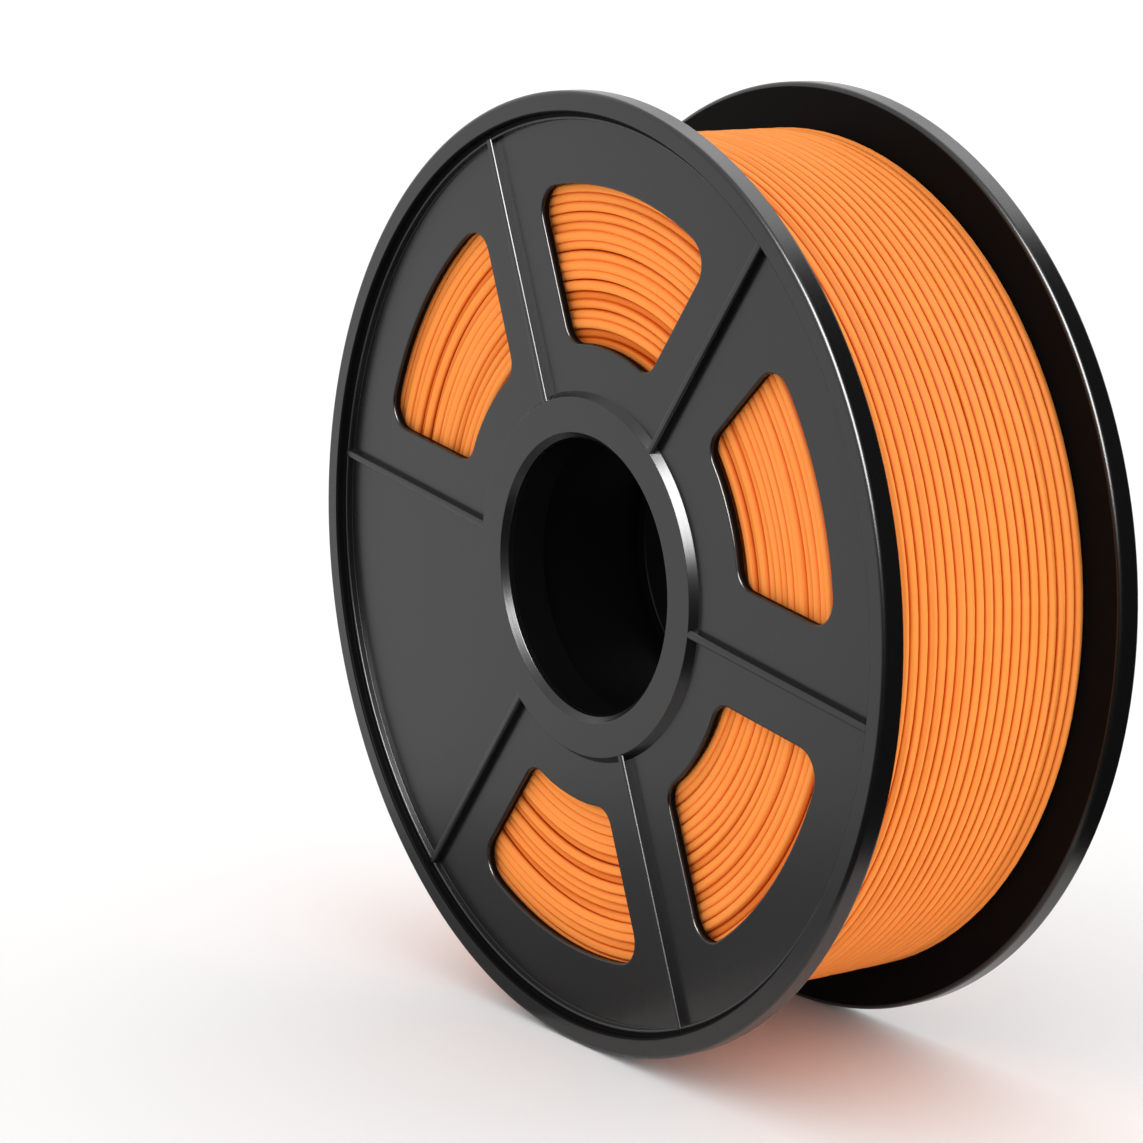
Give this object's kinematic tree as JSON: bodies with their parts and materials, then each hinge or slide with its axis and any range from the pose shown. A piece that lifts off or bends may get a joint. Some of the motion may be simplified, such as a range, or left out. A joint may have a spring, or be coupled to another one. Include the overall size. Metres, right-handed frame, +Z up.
{
  "type": "filament spool",
  "caption": "Black moulded spool with windowed, ribbed flanges and a collared bore, wound full of orange printing filament.",
  "frame": {"origin": "middle of the spool, on the bore's axis halfway between the two rim faces", "axes": "+Y along the bore from the front flange to the rear flange, +Z up, +X to the right of a viewer who looks at the front flange"},
  "size_m": [0.2, 0.064, 0.2],
  "materials": {
    "spool_black": "satin injection moulded",
    "barrel_black": "smooth injection moulded",
    "filament_orange": "extruded, soft sheen"
  },
  "bodies": {
    "root": {"front_flange": "spool_black", "rear_flange": "spool_black", "core_barrel": "barrel_black", "filament_winding": "filament_orange"}
  },
  "joints": []
}
